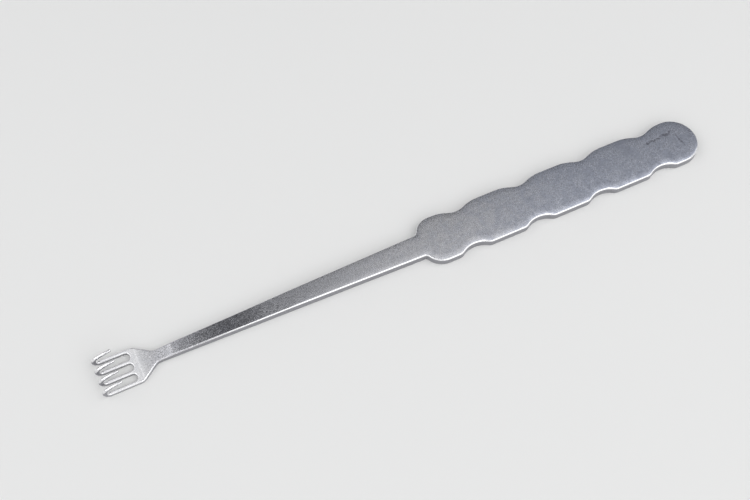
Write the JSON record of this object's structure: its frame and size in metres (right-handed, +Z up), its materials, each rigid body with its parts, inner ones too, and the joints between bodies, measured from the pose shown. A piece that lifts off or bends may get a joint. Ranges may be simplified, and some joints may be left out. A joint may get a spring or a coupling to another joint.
{
  "type": "handheld surgical retractor",
  "caption": "Flat steel hand retractor with a finger-notched grip, a tapering shank and a rake of small curled prongs.",
  "frame": {"origin": "under the middle of the length, on the flat underside", "axes": "+X along the length from the prongs to the round end, +Z up from the underside, the way the prongs curl"},
  "size_m": [0.18, 0.0144, 0.0053],
  "materials": {
    "satin_steel": "bead-blasted satin grip and shank, brighter polished head and prongs"
  },
  "bodies": {
    "root": {"retractor": "satin_steel"}
  },
  "joints": []
}
